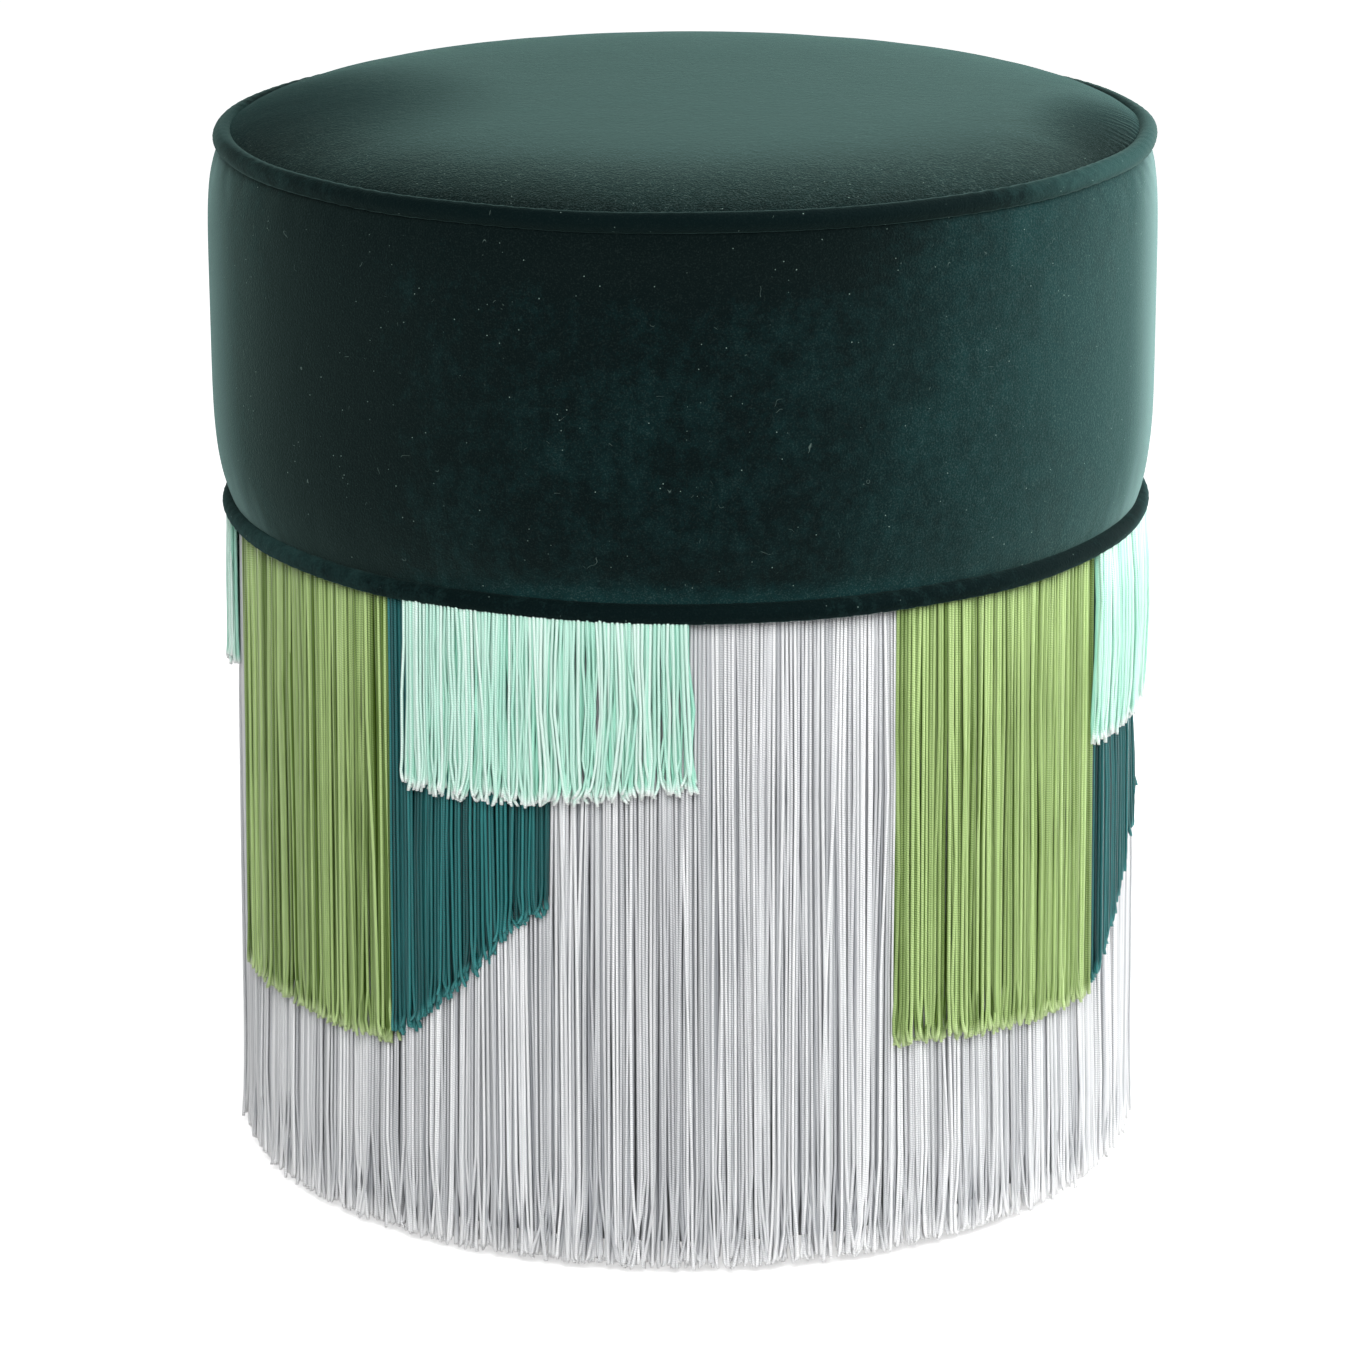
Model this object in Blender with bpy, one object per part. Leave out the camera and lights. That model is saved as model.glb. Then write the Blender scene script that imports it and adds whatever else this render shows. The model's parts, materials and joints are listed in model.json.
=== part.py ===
"""A round fringed pouf: a plywood drum with foam and a velvet cover on top, and layers of hanging fringe below.

Metres, +Z up, origin on the floor under the centre of the seat. The front is -Y, and angles are counted from
the front towards +X.
"""

from math import acos, cos, pi, radians, sin

import bmesh
import bpy
from mathutils import Matrix, Vector

# Fits and facets
GAP = 0.0003  # clearance between pieces that touch
ROUND_STEPS = 36  # facets round the drum and everything wrapped on it
SMALL_STEPS = 10  # facets round screws and glides
CUT_MARGIN = 0.002  # how far a cutter runs past the face that it cuts

# Drum of plywood
DRUM_RADIUS = 0.1835  # outside of the bent wall
DRUM_WALL = 0.004
BOARD_THICKNESS = 0.015  # base board, middle ring and seat board
RING_WIDTH = 0.052
POST_SIDE = 0.028
POST_INSET = 0.009  # from the inside of the wall to a post
POST_ANGLES = [radians(45 + 90 * turn) for turn in range(4)]

# Wood screws that hold the boards to the posts
SCREW_RADIUS = 0.0021
SCREW_HEAD_RADIUS = 0.0042
SCREW_HEAD_HEIGHT = 0.0026
SCREW_LENGTH = 0.045
SCREW_POINT = 0.004

# Glides under the base
GLIDE_HEIGHT = 0.009
GLIDE_RADIUS = 0.013
GLIDE_ROUNDING = 0.002
GLIDE_INSET = 0.036  # from the outside of the drum to a glide's centre
GLIDE_ANGLES = [radians(90 * turn) for turn in range(4)]
GLIDE_SCREW_RADIUS = 0.0017
GLIDE_SCREW_HEAD_RADIUS = 0.0036
GLIDE_SCREW_HEAD_HEIGHT = 0.0022
GLIDE_SCREW_RECESS = 0.0014  # from the floor to the screw's head
GLIDE_SCREW_BITE = 0.011  # how far the screw runs into the base board

# Cloth and padding
VELVET = 0.0014
BATTING = 0.004
LINING = 0.0008
DUST_CLOTH = 0.0006
DUST_CLOTH_MARGIN = 0.003  # from the drum's outside to the dust cloth's edge
SEAT_FOAM_EDGE = 0.025  # height of the seat foam at its edge
CROWN = 0.0125  # rise of the seat from its seam to its middle
CROWN_POWER = 7.0
CROWN_RINGS = 5
BAND_HEIGHT = 0.1500  # velvet band between the two welts
BAND_BULGE = 0.0042
BAND_POWER = 6
BAND_RINGS = 5

# Welts, which are velvet strips sewn round a cord
WELT_RADIUS = 0.0044
WELT_STRIP = 0.0009  # thickness of the strip
WELT_FLANGE = 0.012  # from the cord's middle to the edge of the seam allowance
WELT_FLANGE_OFFSET = 0.0020  # the allowance leaves the cord this far inside its middle
WELT_OUTER_POINTS = 7
WELT_INNER_POINTS = 6
SEAM_HEIGHT = 0.0030  # the seat's edge above the middle of the upper cord
SEAM_OFFSET = 0.0022  # the band's edge outside the middle of the cords

# Fringe
FRINGE_CLEARANCE = 0.003  # from the floor to the longest strands
FRINGE_DROP = 0.277  # from the lower welt to the ends of the longest strands
TAPE_THICKNESS = 0.0016
TAPE_HEIGHT = 0.013
TAPE_SHOWING = 0.0015  # how far a tape hangs below the lower welt
STRAND_PITCH = 0.0080  # from strand to strand
STRAND_SHARE = 0.62  # of the pitch that is strand and not gap
STRAND_RAGGED = 0.0012  # how much the strands differ in length
RAGGED_TURN = 2.4  # radians from strand to strand in the wave that makes them differ
TAPE_SLIT = radians(0.25)  # between two tapes end to end
SHOULDER_DROP = 0.012  # height over which strands swing out from their tape
SHOULDER_OUT = 0.0075
STRAND_LEAN = 0.0105  # how far strands stand out below the shoulder, per length

# Coloured panels, which repeat round the pouf as green, teal and mint
PANEL_STARTS = [radians(angle) for angle in (-74, 25, 115.5, 206)]
GREEN_SPAN = radians(35.5)
TEAL_SPAN = radians(21.5)
MINT_SPAN = radians(36.5)
MINT_SHIFT = radians(2)  # the teal that shows between green and mint
GREEN_DROP = 0.1905
TEAL_LONG_DROP = 0.1875
TEAL_SHORT_DROP = 0.1195
MINT_LONG_DROP = 0.0775
MINT_SHORT_DROP = 0.0680

# Radii, from the drum outwards
facet_share = cos(pi / ROUND_STEPS)  # the middle of a facet against its corners
drum_inside = DRUM_RADIUS - DRUM_WALL
lining_inside = DRUM_RADIUS + GAP
lining_outside = lining_inside + LINING
grey_tape = lining_outside + GAP
long_tape = grey_tape + TAPE_THICKNESS + GAP
mint_tape = long_tape + TAPE_THICKNESS + GAP
welt_circle = (mint_tape + TAPE_THICKNESS + GAP) / facet_share + WELT_RADIUS
seam_radius = welt_circle + SEAM_OFFSET
seat_edge = welt_circle - WELT_RADIUS - GAP
post_circle = drum_inside - POST_INSET - POST_SIDE / 2
glide_circle = DRUM_RADIUS - GLIDE_INSET

# Heights, from the floor upwards
dust_bottom = GLIDE_HEIGHT + GAP
base_bottom = dust_bottom + DUST_CLOTH + GAP
base_top = base_bottom + BOARD_THICKNESS
lower_welt = FRINGE_CLEARANCE + FRINGE_DROP + WELT_RADIUS
tape_bottom = lower_welt - WELT_RADIUS - TAPE_SHOWING
tape_top = tape_bottom + TAPE_HEIGHT
ring_bottom = tape_bottom + TAPE_HEIGHT / 2 - BOARD_THICKNESS / 2
band_bottom = lower_welt + WELT_RADIUS + GAP
band_top = band_bottom + BAND_HEIGHT
upper_welt = band_top + GAP + WELT_RADIUS
seam_height = upper_welt + SEAM_HEIGHT
foam_depth = VELVET + BATTING + 2 * GAP  # from the seat's surface to the foam
flange_bottom = upper_welt - WELT_FLANGE - GAP
foam_bottom = seam_height - foam_depth - SEAT_FOAM_EDGE
board_top = foam_bottom - GAP
board_bottom = board_top - BOARD_THICKNESS


def clear_scene():
    """Removes every object that the file holds."""
    for old in list(bpy.data.objects):
        bpy.data.objects.remove(old, do_unlink=True)


def make_material(name, colour, roughness, metallic=0.0):
    """A Principled material of one colour."""
    material = bpy.data.materials.new(name)
    material.use_nodes = True
    shader = material.node_tree.nodes["Principled BSDF"]
    shader.inputs["Base Color"].default_value = (*colour, 1)
    shader.inputs["Roughness"].default_value = roughness
    shader.inputs["Metallic"].default_value = metallic
    return material


def add_object(name, bm, material=None, smooth_angle=35):
    """Turns a bmesh into a linked object with its faces pointing out."""
    bmesh.ops.recalc_face_normals(bm, faces=bm.faces)
    mesh = bpy.data.meshes.new(name)
    bm.to_mesh(mesh)
    bm.free()
    mesh.shade_smooth()
    mesh.set_sharp_from_angle(angle=radians(smooth_angle))
    if material:
        mesh.materials.append(material)
    obj = bpy.data.objects.new(name, mesh)
    bpy.context.scene.collection.objects.link(obj)
    return obj


def at_angle(radius, angle, height):
    """The point at a radius, an angle from the front and a height."""
    return Vector((radius * sin(angle), -radius * cos(angle), height))


def spin_outline(bm, outline, steps, centre=(0, 0, 0)):
    """Adds the solid that a closed outline of (radius, height) points makes when it is turned about a centre."""
    centre = Vector(centre)
    corners = [bm.verts.new(centre + Vector((radius, 0, height))) for radius, height in outline]
    edges = []
    for first, second in zip(corners, corners[1:] + corners[:1]):
        if (first.co - centre).x > 0 or (second.co - centre).x > 0:
            edges.append(bm.edges.new((first, second)))
    spun = corners + edges
    bmesh.ops.spin(
        bm, geom=spun, cent=centre, axis=(0, 0, 1), angle=2 * pi, steps=steps, use_merge=True
    )
    bmesh.ops.remove_doubles(bm, verts=bm.verts, dist=1e-6)


def turned(name, outline, material, steps=ROUND_STEPS, centre=(0, 0, 0)):
    """A turned object."""
    bm = bmesh.new()
    spin_outline(bm, outline, steps, centre)
    return add_object(name, bm, material)


def box_mesh(bm, size, centre, turn):
    """Adds a box that is turned about Z."""
    place = Matrix.Translation(centre) @ Matrix.Rotation(turn, 4, "Z") @ Matrix.Diagonal((*size, 1))
    bmesh.ops.create_cube(bm, size=1, matrix=place)


def make_cutter(name, bm):
    """A helper that cuts other objects and isn't part of the pouf."""
    cutter = add_object(name, bm)
    cutter.hide_render = True
    cutter.display_type = "WIRE"
    return cutter


def cut(obj, *cutters):
    """Cuts helpers out of an object."""
    for cutter in cutters:
        boolean = obj.modifiers.new(cutter.name, "BOOLEAN")
        boolean.operation = "DIFFERENCE"
        boolean.object = cutter


def seat_surface(radius):
    """Height of the seat's velvet at a radius."""
    return seam_height + CROWN * (1 - (radius / seat_edge) ** CROWN_POWER)


def crown_radii(edge):
    """Radii of the crown's rings, closer together towards the seam, out to an edge."""
    rings = [seat_edge * sin(pi / 2 * ring / CROWN_RINGS) for ring in range(CROWN_RINGS + 1)]
    return [radius for radius in rings if radius < edge - GAP] + [edge]


def crown_line(edge, depth):
    """Outline points at a depth under the seat's surface, from the middle to an edge."""
    return [(radius, seat_surface(radius) - depth) for radius in crown_radii(edge)]


def band_line(inset, low=band_bottom, high=band_top):
    """Outline points up the band, at an inset from its outer face, between two heights."""
    shares = [(1 - cos(pi * ring / BAND_RINGS)) / 2 for ring in range(BAND_RINGS + 1)]
    rings = [
        (seam_radius + BAND_BULGE * (1 - abs(2 * share - 1) ** BAND_POWER), band_bottom + share * BAND_HEIGHT)
        for share in shares
    ]
    heights = [low] + [height for _, height in rings if low + GAP < height < high - GAP] + [high]
    line = []
    for height in heights:
        for (below, bottom), (above, top) in zip(rings, rings[1:]):
            if bottom - GAP <= height <= top + GAP:
                share = (height - bottom) / (top - bottom)
                line.append((below + share * (above - below) - inset, height))
                break
    return line


def welt_outline(height, up):
    """Outline of a velvet strip that runs round a cord and ends in two plies of seam allowance.

    up is 1 where the allowance points up, and -1 where it points down.
    """
    inner = WELT_RADIUS - WELT_STRIP
    slit = (-WELT_FLANGE_OFFSET - GAP / 2, -WELT_FLANGE_OFFSET + GAP / 2)
    plies = (slit[0] - WELT_STRIP, slit[1] + WELT_STRIP)

    def arc(radius, sides, points):
        start = acos(sides[1] / radius)
        end = acos(sides[0] / radius) - 2 * pi
        turns = [start + (end - start) * step / (points - 1) for step in range(points)]
        return [(radius * cos(turn), radius * sin(turn)) for turn in turns]

    outside = arc(WELT_RADIUS, plies, WELT_OUTER_POINTS)
    inside = arc(inner, slit, WELT_INNER_POINTS)
    first_ply = [(plies[0], WELT_FLANGE), (slit[0], WELT_FLANGE)]
    second_ply = [(slit[1], WELT_FLANGE), (plies[1], WELT_FLANGE)]
    loop = outside + first_ply + inside[::-1] + second_ply
    return [(welt_circle + across, height + up * along) for across, along in loop]


def cord_outline(height, up):
    """Outline of the cord in a welt, clear of the flats of the strip round it."""
    slit_turn = acos(-WELT_FLANGE_OFFSET / (WELT_RADIUS - WELT_STRIP))
    sides = WELT_INNER_POINTS - 1
    radius = (WELT_RADIUS - WELT_STRIP) * cos(pi / sides) - GAP
    turns = [slit_turn - 2 * pi * side / sides for side in range(sides)]
    return [(welt_circle + radius * cos(turn), height + up * radius * sin(turn)) for turn in turns]


def disc(radius, bottom, top):
    """Outline of a plain disc."""
    return [(0, bottom), (radius, bottom), (radius, top), (0, top)]


def tube(inside, outside, bottom, top):
    """Outline of a plain tube."""
    return [(inside, bottom), (outside, bottom), (outside, top), (inside, top)]


def screw_outline(head, up, spare=0.0):
    """Outline of a countersunk screw whose head's face is at a height. up is 1 where its head is on top.

    spare widens it all round, for the hole that it runs in.
    """
    length = SCREW_LENGTH + spare
    mouth = [(0, CUT_MARGIN), (SCREW_HEAD_RADIUS + spare, CUT_MARGIN)] if spare else [(0, 0)]
    body = [
        (SCREW_HEAD_RADIUS + spare, 0),
        (SCREW_RADIUS + spare, -SCREW_HEAD_HEIGHT),
        (SCREW_RADIUS + spare, -length + SCREW_POINT),
        (0, -length),
    ]
    return [(radius, head + up * height) for radius, height in mouth + body]


def glide_screw_outline(spare=0.0):
    """Outline of the pan head screw through a glide, from its head up."""
    head = GLIDE_SCREW_RECESS
    shoulder = head + GLIDE_SCREW_HEAD_HEIGHT
    return [
        (0, -CUT_MARGIN if spare else head),
        (GLIDE_SCREW_HEAD_RADIUS + spare, -CUT_MARGIN if spare else head),
        (GLIDE_SCREW_HEAD_RADIUS + spare, shoulder + spare),
        (GLIDE_SCREW_RADIUS + spare, shoulder + spare),
        (GLIDE_SCREW_RADIUS + spare, base_bottom + GLIDE_SCREW_BITE - SCREW_POINT / 2),
        (0, base_bottom + GLIDE_SCREW_BITE + spare),
    ]


def hole_cutter(name, outline, radius, angles):
    """A helper with one turned cutter at each angle round a circle."""
    bm = bmesh.new()
    for angle in angles:
        spin_outline(bm, outline, SMALL_STEPS, at_angle(radius, angle, 0))
    return make_cutter(name, bm)


def make_fringe(name, start, span, tape_inside, drop_at, material):
    """A tape with hanging strands, as one solid.

    The tape is bent round the drum, and each strand is drawn out of its lower edge, first outwards and then
    down. drop_at gives a strand's length from its share of the way along the tape.
    """
    closed = span > 2 * pi - TAPE_SLIT
    tape_outside = tape_inside + TAPE_THICKNESS
    count = max(3, round(span * tape_outside / STRAND_PITCH))
    pitch = span / count if closed else span / (count - 1 + STRAND_SHARE)
    lefts = [start + pitch * strand for strand in range(count)]
    rights = [left + pitch * STRAND_SHARE for left in lefts]
    uppers = lefts if closed else lefts + [rights[-1]]
    bm = bmesh.new()

    def corner_pairs(angles, height):
        return [
            (bm.verts.new(at_angle(tape_inside, angle, height)), bm.verts.new(at_angle(tape_outside, angle, height)))
            for angle in angles
        ]

    top = corner_pairs(uppers, tape_top)
    left = corner_pairs(lefts, tape_bottom)
    right = corner_pairs(rights, tape_bottom)
    feet = []
    for strand in range(count):
        after = (strand + 1) % len(top)
        last = not closed and strand == count - 1
        beyond = [] if last else [left[(strand + 1) % count]]
        bm.faces.new((top[strand][0], top[after][0], top[after][1], top[strand][1]))
        for side in (0, 1):
            lower = [pair[side] for pair in beyond] + [right[strand][side], left[strand][side]]
            bm.faces.new([top[strand][side], top[after][side]] + lower)
        if beyond:
            bm.faces.new((right[strand][0], beyond[0][0], beyond[0][1], right[strand][1]))
        feet.append(bm.faces.new((left[strand][0], right[strand][0], right[strand][1], left[strand][1])))
    if not closed:
        for upper, lower in ((top[0], left[0]), (top[-1], right[-1])):
            bm.faces.new((upper[0], upper[1], lower[1], lower[0]))

    for below in (False, True):
        feet = bmesh.ops.extrude_discrete_faces(bm, faces=feet)["faces"]
        for strand, foot in enumerate(feet):
            middle = (lefts[strand] + rights[strand]) / 2
            rest = drop_at(strand / (count - 1)) - STRAND_RAGGED * abs(sin(RAGGED_TURN * strand)) - SHOULDER_DROP
            out, down = (STRAND_LEAN * rest, rest) if below else (SHOULDER_OUT, SHOULDER_DROP)
            for corner in foot.verts:
                corner.co += at_angle(out, middle, -down)
    return add_object(name, bm, material)


def steady(drop):
    """A hem at one height."""
    return lambda share: drop


def slanting(first, last):
    """A hem that rises or falls steadily along the tape."""
    return lambda share: first + (last - first) * share


def make_drum(plywood, pine, steel):
    """The wooden frame: wall, three boards, four posts and the screws between them."""
    post_holes = bmesh.new()
    for angle in POST_ANGLES:
        size = (POST_SIDE + 2 * GAP, POST_SIDE + 2 * GAP, BOARD_THICKNESS + 2 * CUT_MARGIN)
        middle = at_angle(post_circle, angle, ring_bottom + BOARD_THICKNESS / 2)
        box_mesh(post_holes, size, middle, angle)
    mortises = make_cutter("post_mortises", post_holes)
    seat_holes = hole_cutter("seat_screw_holes", screw_outline(board_top, 1, GAP), post_circle, POST_ANGLES)
    base_holes = hole_cutter("base_screw_holes", screw_outline(base_bottom, -1, GAP), post_circle, POST_ANGLES)
    glide_holes = hole_cutter("glide_screw_holes", glide_screw_outline(GAP), glide_circle, GLIDE_ANGLES)

    turned("drum_wall", tube(drum_inside, DRUM_RADIUS, base_bottom, board_bottom - GAP), plywood)
    inside_fit = drum_inside - GAP
    base = turned("base_board", disc(inside_fit, base_bottom, base_top), plywood)
    cut(base, base_holes, glide_holes)
    ring_outline = tube(inside_fit - RING_WIDTH, inside_fit, ring_bottom, ring_bottom + BOARD_THICKNESS)
    cut(turned("middle_ring", ring_outline, plywood), mortises)
    cut(turned("seat_board", disc(DRUM_RADIUS, board_bottom, board_top), plywood), seat_holes)

    post_bottom = base_top + GAP
    post_top = board_bottom - GAP
    for number, angle in enumerate(POST_ANGLES, 1):
        bm = bmesh.new()
        middle = at_angle(post_circle, angle, (post_bottom + post_top) / 2)
        box_mesh(bm, (POST_SIDE, POST_SIDE, post_top - post_bottom), middle, angle)
        cut(add_object(f"post_{number}", bm, pine), seat_holes, base_holes)
        foot = at_angle(post_circle, angle, 0)
        turned(f"seat_screw_{number}", screw_outline(board_top, 1), steel, SMALL_STEPS, foot)
        turned(f"base_screw_{number}", screw_outline(base_bottom, -1), steel, SMALL_STEPS, foot)
    return glide_holes


def make_base(glide_holes, dust_cloth, plastic, steel):
    """The dust cloth under the base board, and the glides screwed on through it."""
    outline = disc(DRUM_RADIUS - DUST_CLOTH_MARGIN, dust_bottom, dust_bottom + DUST_CLOTH)
    cut(turned("dust_cloth", outline, dust_cloth), glide_holes)
    bore = GLIDE_SCREW_RADIUS + GAP
    recess = GLIDE_SCREW_HEAD_RADIUS + GAP
    shoulder = GLIDE_SCREW_RECESS + GLIDE_SCREW_HEAD_HEIGHT + GAP
    glide = [
        (recess, 0),
        (GLIDE_RADIUS - GLIDE_ROUNDING, 0),
        (GLIDE_RADIUS, GLIDE_ROUNDING),
        (GLIDE_RADIUS, GLIDE_HEIGHT),
        (bore, GLIDE_HEIGHT),
        (bore, shoulder),
        (recess, shoulder),
    ]
    for number, angle in enumerate(GLIDE_ANGLES, 1):
        foot = at_angle(glide_circle, angle, 0)
        turned(f"glide_{number}", glide, plastic, SMALL_STEPS, foot)
        turned(f"glide_screw_{number}", glide_screw_outline(), steel, SMALL_STEPS, foot)


def make_padding(foam, batting):
    """Foam round the drum and on the seat board, and batting over it."""
    side_bottom = lower_welt + WELT_FLANGE + GAP
    wrap = VELVET + GAP
    inside = DRUM_RADIUS + GAP
    side = band_line(wrap, side_bottom, board_top) + [(inside, board_top), (inside, side_bottom)]
    turned("side_foam", side, foam)

    corner = band_line(wrap, foam_bottom, flange_bottom)
    edge = seat_edge - GAP
    shoulder = [(edge, flange_bottom)]
    dome = crown_line(edge, foam_depth)[::-1]
    turned("seat_foam", [(0, foam_bottom)] + corner + shoulder + dome, foam)

    over = crown_line(edge, VELVET + GAP)
    under = crown_line(edge, VELVET + GAP + BATTING)[::-1]
    turned("seat_batting", over + under, batting)


def make_cover(velvet, cord):
    """The velvet seat, the band round the side, and the corded welts along both seams."""
    turned("velvet_seat", crown_line(seat_edge, 0) + crown_line(seat_edge, VELVET)[::-1], velvet)
    turned("velvet_band", band_line(0) + band_line(VELVET)[::-1], velvet)
    for place, height, up in (("upper", upper_welt, -1), ("lower", lower_welt, 1)):
        turned(f"{place}_welt", welt_outline(height, up), velvet)
        turned(f"{place}_welt_cord", cord_outline(height, up), cord)


def make_skirt(lining, grey, green, teal, mint):
    """The lining round the drum, the grey fringe all the way round it, and the coloured panels over that."""
    turned("drum_lining", tube(lining_inside, lining_outside, base_bottom, tape_top), lining)
    grey_drop = tape_bottom - FRINGE_CLEARANCE
    make_fringe("grey_fringe", 0, 2 * pi, grey_tape, steady(grey_drop), grey)
    for number, start in enumerate(PANEL_STARTS, 1):
        make_fringe(f"green_panel_{number}", start, GREEN_SPAN, long_tape, steady(GREEN_DROP), green)
        teal_start = start + GREEN_SPAN + TAPE_SLIT
        teal_hem = slanting(TEAL_LONG_DROP, TEAL_SHORT_DROP)
        make_fringe(f"teal_panel_{number}", teal_start, TEAL_SPAN, long_tape, teal_hem, teal)
        mint_start = teal_start + MINT_SHIFT
        mint_hem = slanting(MINT_LONG_DROP, MINT_SHORT_DROP)
        make_fringe(f"mint_panel_{number}", mint_start, MINT_SPAN, mint_tape, mint_hem, mint)


def main():
    clear_scene()
    plywood = make_material("birch_plywood", (0.55, 0.38, 0.21), 0.6)
    pine = make_material("pine", (0.62, 0.42, 0.22), 0.65)
    steel = make_material("zinc_steel", (0.55, 0.56, 0.57), 0.35, 1.0)
    plastic = make_material("glide_plastic", (0.02, 0.02, 0.021), 0.45)
    foam = make_material("foam", (0.78, 0.74, 0.60), 0.9)
    batting = make_material("batting", (0.86, 0.86, 0.84), 0.95)
    cord = make_material("welt_cord", (0.80, 0.78, 0.72), 0.9)
    velvet = make_material("green_velvet", (0.009, 0.045, 0.041), 0.75)
    lining = make_material("lining_cloth", (0.30, 0.31, 0.32), 0.85)
    dust_cloth = make_material("dust_cloth", (0.015, 0.015, 0.016), 0.9)
    grey = make_material("grey_fringe", (0.60, 0.61, 0.63), 0.5)
    green = make_material("green_fringe", (0.28, 0.42, 0.12), 0.5)
    teal = make_material("teal_fringe", (0.012, 0.110, 0.110), 0.5)
    mint = make_material("mint_fringe", (0.47, 0.82, 0.65), 0.5)
    glide_holes = make_drum(plywood, pine, steel)
    make_base(glide_holes, dust_cloth, plastic, steel)
    make_padding(foam, batting)
    make_cover(velvet, cord)
    make_skirt(lining, grey, green, teal, mint)


main()
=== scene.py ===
import json
from math import pi, radians

import bpy
import numpy as np
from mathutils import Matrix, Vector


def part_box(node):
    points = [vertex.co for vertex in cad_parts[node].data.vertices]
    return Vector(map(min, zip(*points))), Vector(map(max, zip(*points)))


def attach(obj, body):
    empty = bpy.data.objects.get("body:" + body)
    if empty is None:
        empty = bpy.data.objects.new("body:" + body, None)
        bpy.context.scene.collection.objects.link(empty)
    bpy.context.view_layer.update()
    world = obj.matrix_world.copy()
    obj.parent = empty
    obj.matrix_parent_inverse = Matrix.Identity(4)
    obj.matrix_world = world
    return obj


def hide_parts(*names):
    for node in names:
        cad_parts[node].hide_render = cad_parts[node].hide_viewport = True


# A round fringed pouf, dressed round its frame. Metres, +Z up, front at -Y.
# Angles run from the front towards +X, and "along" is a distance round the drum.

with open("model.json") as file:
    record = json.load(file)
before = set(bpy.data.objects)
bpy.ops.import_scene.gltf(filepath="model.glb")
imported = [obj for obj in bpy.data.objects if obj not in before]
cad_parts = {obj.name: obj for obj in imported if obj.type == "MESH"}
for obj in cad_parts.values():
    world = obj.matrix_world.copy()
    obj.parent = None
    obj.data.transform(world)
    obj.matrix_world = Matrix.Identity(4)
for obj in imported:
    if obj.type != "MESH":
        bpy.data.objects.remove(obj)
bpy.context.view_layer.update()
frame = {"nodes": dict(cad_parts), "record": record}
print("frame loaded:", len(frame["nodes"]), "nodes")


# Mesh helpers

def polar(radius, angle, height):
    # x = r sin(angle), y = -r cos(angle), z = height, for whole arrays
    radius, angle, height = np.broadcast_arrays(radius, angle, height)
    return np.stack([radius * np.sin(angle), -radius * np.cos(angle), height], axis=-1)


def smoothStep(value):
    # 3t^2 - 2t^3, with t held from 0 to 1
    held = np.clip(value, 0, 1)
    return held * held * (3 - 2 * held)


def fullTurn(steps):
    # angles evenly spaced over a whole turn
    return 2 * pi * np.arange(steps) / steps


def meshPoints(mesh):
    # every corner of a mesh, as an array of x, y, z
    points = np.empty(len(mesh.vertices) * 3)
    mesh.vertices.foreach_get("co", points)
    return points.reshape(-1, 3)


def setAll(items, label, values):
    # gives each item of one of a mesh's lists its value
    items.foreach_set(label, np.ascontiguousarray(values, dtype=np.float32).ravel())


def addObject(name, data):
    added = bpy.data.objects.new(name, data)
    bpy.context.scene.collection.objects.link(added)
    return added


def addPiece(name, points, faces, material, uv=None):
    # faces is an array of corner numbers, one row a face, or a list of such arrays
    groups = faces if isinstance(faces, list) else [faces]
    corners = np.concatenate([group.ravel() for group in groups]).astype(np.int32)
    sizes = np.concatenate([np.full(len(group), group.shape[1]) for group in groups]).astype(np.int32)
    mesh = bpy.data.meshes.new(name)
    mesh.vertices.add(len(points))
    setAll(mesh.vertices, "co", points)
    mesh.loops.add(len(corners))
    mesh.loops.foreach_set("vertex_index", corners)
    mesh.polygons.add(len(sizes))
    mesh.polygons.foreach_set("loop_start", (np.cumsum(sizes) - sizes).astype(np.int32))
    mesh.polygons.foreach_set("loop_total", sizes)
    mesh.polygons.foreach_set("use_smooth", np.full(len(sizes), True))
    if uv is not None:
        setAll(mesh.uv_layers.new(name="UVMap").data, "uv", uv[corners])
    mesh.update(calc_edges=True)
    mesh.validate()
    mesh.materials.append(material)
    return addObject(name, mesh)


def setAttribute(piece, name, values):
    # one number for each corner point of the piece
    setAll(piece.data.attributes.new(name, "FLOAT", "POINT").data, "value", values)


def gridFaces(rows, columns, closeRows=False):
    # quads between the neighbours of a grid, numbered row by row; each row closes on itself
    row = np.arange(rows if closeRows else rows - 1)[:, None]
    column = np.arange(columns)
    after, beside = (row + 1) % rows, (column + 1) % columns
    corners = [(row, column), (row, beside), (after, beside), (after, column)]
    return np.stack([down * columns + across for down, across in corners], axis=-1).reshape(-1, 4)


def finishPiece(piece, slot, *nodes):
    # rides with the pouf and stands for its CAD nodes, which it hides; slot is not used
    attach(piece, "root")
    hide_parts(*nodes)


# Materials

def setInputs(tree, node, inputs):
    # each input gets a fixed value, or a link from an output socket
    for label, value in inputs.items():
        if hasattr(value, "is_output"):
            tree.links.new(value, node.inputs[label])
        else:
            node.inputs[label].default_value = value


def addNode(tree, kind, inputs, **settings):
    # a shader node with its settings and inputs; gives its outputs
    node = tree.nodes.new("ShaderNode" + kind)
    for label, value in settings.items():
        setattr(node, label, value)
    setInputs(tree, node, inputs)
    return node.outputs


def newGroup(name, inputs, outputs):
    # a node group with sockets of the given kinds; gives the group, what it is given and its output node
    group = bpy.data.node_groups.new(name, "ShaderNodeTree")
    for side, sockets in (("INPUT", inputs), ("OUTPUT", outputs)):
        for label, kind in sockets.items():
            group.interface.new_socket(label, in_out=side, socket_type="NodeSocket" + kind)
    return group, group.nodes.new("NodeGroupInput").outputs, group.nodes.new("NodeGroupOutput")


def newMaterial(name):
    material = bpy.data.materials.new(name)
    material.use_nodes = True
    tree = material.node_tree
    return material, tree, tree.nodes["Principled BSDF"]


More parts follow.
